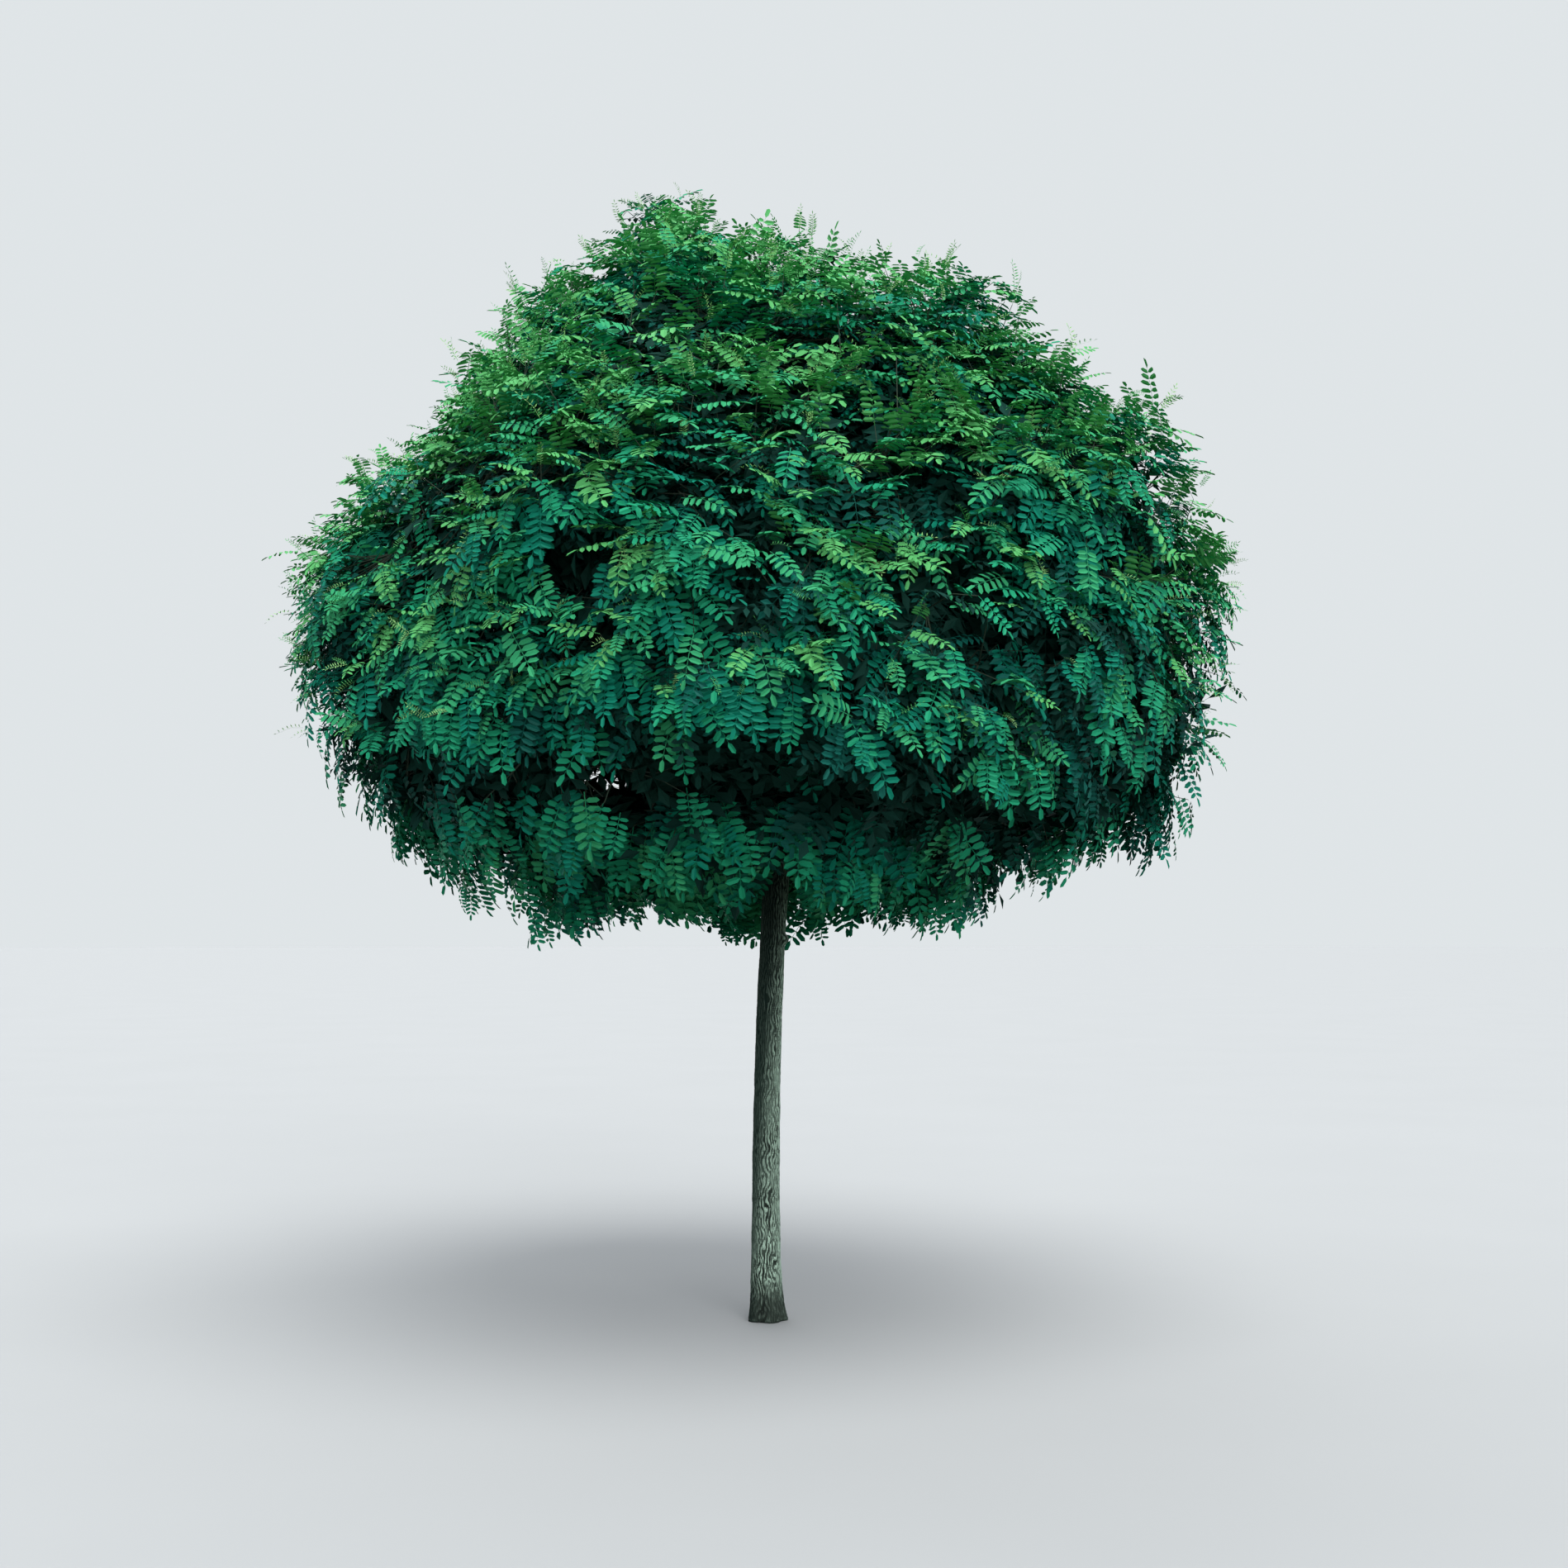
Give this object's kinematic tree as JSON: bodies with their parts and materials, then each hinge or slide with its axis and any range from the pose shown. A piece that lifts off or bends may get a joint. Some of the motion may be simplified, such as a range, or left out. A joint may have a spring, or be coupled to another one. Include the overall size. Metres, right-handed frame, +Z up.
{
  "type": "globe black locust tree",
  "caption": "Round-headed black locust on a clear stem: a slim leaning trunk with a swollen head, boughs that rise from it, and a dense dome of hanging leaf sprays.",
  "frame": {"origin": "middle of the flat cut under the trunk, at ground level", "axes": "+Z straight up; -Y towards the side of the tree that was built from view, +X to that side's right, the way the trunk leans"},
  "size_m": [3.8931, 3.9355, 4.8201],
  "materials": {
    "bark": "rough furrowed bark",
    "bough_bark": "dull bark",
    "foliage": "soft satin leaves"
  },
  "bodies": {
    "root": {"trunk": "bark", "bough_rim_1": "bough_bark", "bough_rim_2": "bough_bark", "bough_rim_3": "bough_bark", "bough_rim_4": "bough_bark", "bough_rim_5": "bough_bark", "bough_rim_6": "bough_bark", "bough_rim_7": "bough_bark", "bough_rim_8": "bough_bark", "bough_top_1": "bough_bark", "bough_top_2": "bough_bark", "bough_skirt_1": "bough_bark", "bough_skirt_2": "bough_bark", "bough_skirt_3": "bough_bark", "bough_skirt_4": "bough_bark", "bough_skirt_5": "bough_bark", "bough_hem_1": "bough_bark", "bough_hem_2": "bough_bark", "bough_hem_3": "bough_bark", "bough_hem_4": "bough_bark", "bough_hem_5": "bough_bark", "bough_hem_6": "bough_bark", "bough_hem_7": "bough_bark", "bough_shoulder_1": "bough_bark", "bough_shoulder_2": "bough_bark", "bough_shoulder_3": "bough_bark", "bough_shoulder_4": "bough_bark", "bough_shoulder_5": "bough_bark", "bough_shoulder_6": "bough_bark", "mass_rim_1": "foliage", "mass_rim_2": "foliage", "mass_rim_3": "foliage", "mass_rim_4": "foliage", "mass_rim_5": "foliage", "mass_rim_6": "foliage", "mass_rim_7": "foliage", "mass_rim_8": "foliage", "mass_top_1": "foliage", "mass_top_2": "foliage", "mass_skirt_1": "foliage", "mass_skirt_2": "foliage", "mass_skirt_3": "foliage", "mass_skirt_4": "foliage", "mass_skirt_5": "foliage", "mass_hem_1": "foliage", "mass_hem_2": "foliage", "mass_hem_3": "foliage", "mass_hem_4": "foliage", "mass_hem_5": "foliage", "mass_hem_6": "foliage", "mass_hem_7": "foliage", "mass_shoulder_1": "foliage", "mass_shoulder_2": "foliage", "mass_shoulder_3": "foliage", "mass_shoulder_4": "foliage", "mass_shoulder_5": "foliage", "mass_shoulder_6": "foliage"}
  },
  "joints": []
}
